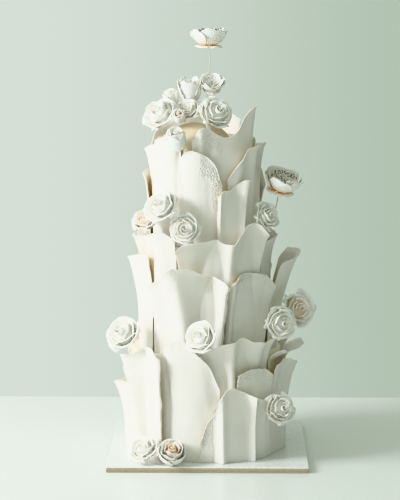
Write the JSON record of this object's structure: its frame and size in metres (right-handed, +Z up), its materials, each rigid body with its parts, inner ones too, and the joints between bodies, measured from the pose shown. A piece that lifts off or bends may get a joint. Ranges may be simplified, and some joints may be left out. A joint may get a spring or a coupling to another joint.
{
  "type": "tiered wedding cake",
  "caption": "Tall round wedding cake in tiers, wrapped in upright ruffled sheets of pale sugar paste, with sugar roses and a square board",
  "frame": {"origin": "centre of the square board's underside, on the surface it stands on", "axes": "+Z up, along the cake's height; the shown front faces -Y; +X is the right-hand side seen from the front"},
  "size_m": [0.3226, 0.3153, 0.6507],
  "materials": {
    "fondant": "matt ivory sugar paste, slightly waxy, with torn thin rims and patches of pressed lace relief",
    "petal": "matt ivory sugar petals, thin at the edges, warmer towards the heart",
    "board": "smooth white covering paper on top, bare brown core at the edge",
    "wire": "white paper-covered florist's wire"
  },
  "bodies": {
    "root": {"board": "board", "bud_top_back": "petal", "bud_top_front": "petal", "bud_top_left": "petal", "flower_right_wired": "petal", "flower_top_cup": "petal", "flower_top_left_open": "petal", "flower_top_wired": "petal", "rose_back": "petal", "rose_board_front": "petal", "rose_board_left": "petal", "rose_front_middle": "petal", "rose_front_upper": "petal", "rose_left_lower": "petal", "rose_left_side": "petal", "rose_left_upper": "petal", "rose_right_back": "petal", "rose_right_foot": "petal", "rose_right_middle": "petal", "rose_right_upper": "petal", "rose_top_left": "petal", "rose_top_middle": "petal", "rose_top_right": "petal", "sheet_1_back": "fondant", "sheet_1_back_left": "fondant", "sheet_1_back_right": "fondant", "sheet_1_front_low": "fondant", "sheet_1_front_tall": "fondant", "sheet_1_front_wing": "fondant", "sheet_1_left_inner": "fondant", "sheet_1_left_low": "fondant", "sheet_1_left_tall": "fondant", "sheet_1_right_flared": "fondant", "sheet_1_right_low": "fondant", "sheet_1_right_outer": "fondant", "sheet_1_right_tall": "fondant", "sheet_2_back_left_high": "fondant", "sheet_2_back_left_low": "fondant", "sheet_2_back_right_high": "fondant", "sheet_2_back_right_low": "fondant", "sheet_2_front_high": "fondant", "sheet_2_front_low": "fondant", "sheet_2_left_high": "fondant", "sheet_2_left_low": "fondant", "sheet_2_right_back_high": "fondant", "sheet_2_right_flared": "fondant", "sheet_2_right_low": "fondant", "sheet_3_back": "fondant", "sheet_3_back_low": "fondant", "sheet_3_front_lace": "fondant", "sheet_3_left": "fondant", "sheet_3_left_low": "fondant", "sheet_3_right": "fondant", "sheet_3_right_low": "fondant", "sheet_3_top_front": "fondant", "tier_bottom": "fondant", "tier_middle": "fondant", "tier_top": "fondant", "wire_right": "wire", "wire_top": "wire"}
  },
  "joints": []
}
